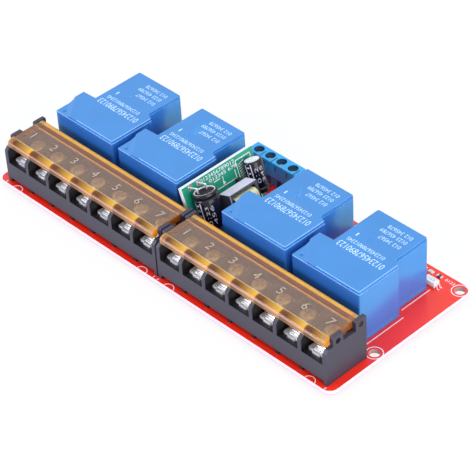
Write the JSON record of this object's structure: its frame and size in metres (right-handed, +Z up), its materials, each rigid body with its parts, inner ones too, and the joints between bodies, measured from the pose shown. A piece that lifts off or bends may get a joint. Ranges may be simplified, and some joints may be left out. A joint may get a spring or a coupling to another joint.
{
  "type": "relay module board",
  "caption": "Long printed board with sealed blue relays, a supply board between them and covered barrier screw terminals along the front edge.",
  "frame": {"origin": "under the middle of the board, level with the ends of the soldered pins", "axes": "+X along the board, +Y from the barrier terminals to the rear edge, +Z up from the board"},
  "size_m": [0.15, 0.0618, 0.0235],
  "materials": {
    "board_red": "glossy solder mask",
    "board_green": "glossy solder mask",
    "housing_grey": "satin",
    "cover_amber": "glossy, see-through",
    "relay_blue": "satin gloss",
    "base_black": "matte",
    "terminal_blue": "satin gloss",
    "tinned_brass": "bright tin plating",
    "zinc_steel": "bright zinc plating",
    "lead_tin": "bright tin",
    "solder": "satin solder",
    "can_sleeve": "dark printed sleeve",
    "ferrite": "fine ground",
    "coil_tape": "tape over copper wire",
    "moulded_black": "matte",
    "opto_white": "matte",
    "led_clear": "clear",
    "chip_black": "matte"
  },
  "bodies": {
    "board": {"main_board": "board_red", "barrier_housing_left": "housing_grey", "barrier_contacts_left": "tinned_brass", "barrier_clamps_left": "zinc_steel", "barrier_washers_left": "zinc_steel", "barrier_screws_left": "zinc_steel", "barrier_housing_right": "housing_grey", "barrier_contacts_right": "tinned_brass", "barrier_clamps_right": "zinc_steel", "barrier_washers_right": "zinc_steel", "barrier_screws_right": "zinc_steel", "relay_case_1": "relay_blue", "relay_base_1": "base_black", "relay_case_2": "relay_blue", "relay_base_2": "base_black", "relay_case_3": "relay_blue", "relay_base_3": "base_black", "relay_case_4": "relay_blue", "relay_base_4": "base_black", "relay_pins": "lead_tin", "signal_housing": "terminal_blue", "signal_screws": "zinc_steel", "signal_clamps": "zinc_steel", "signal_pins": "lead_tin", "supply_board": "board_green", "supply_pins": "lead_tin", "input_capacitor": "can_sleeve", "input_capacitor_leads": "lead_tin", "output_capacitor": "can_sleeve", "output_capacitor_leads": "lead_tin", "transformer_core": "ferrite", "transformer_bobbin": "moulded_black", "transformer_winding": "coil_tape", "transformer_pins": "lead_tin", "supply_controller": "moulded_black", "supply_rectifier": "moulded_black", "supply_chip_leads": "lead_tin", "optocoupler_bodies": "opto_white", "optocoupler_leads": "lead_tin", "driver_transistors": "moulded_black", "transistor_leads": "lead_tin", "flyback_diodes": "moulded_black", "diode_leads": "lead_tin", "chip_resistors": "chip_black", "status_leds": "led_clear", "chip_ends": "lead_tin", "solder_joints": "solder"},
    "left_cover": {"barrier_cover_left": "cover_amber"},
    "right_cover": {"barrier_cover_right": "cover_amber"}
  },
  "joints": [
    {"name": "left_cover_hinge", "type": "hinge", "parent": "board", "child": "left_cover", "pos_m": [-0.03555, -0.01496, 0.0182], "axis": [-1, 0, 0], "range_deg": [0, 110]},
    {"name": "right_cover_hinge", "type": "hinge", "parent": "board", "child": "right_cover", "pos_m": [0.03655, -0.01496, 0.0182], "axis": [-1, 0, 0], "range_deg": [0, 110]}
  ]
}
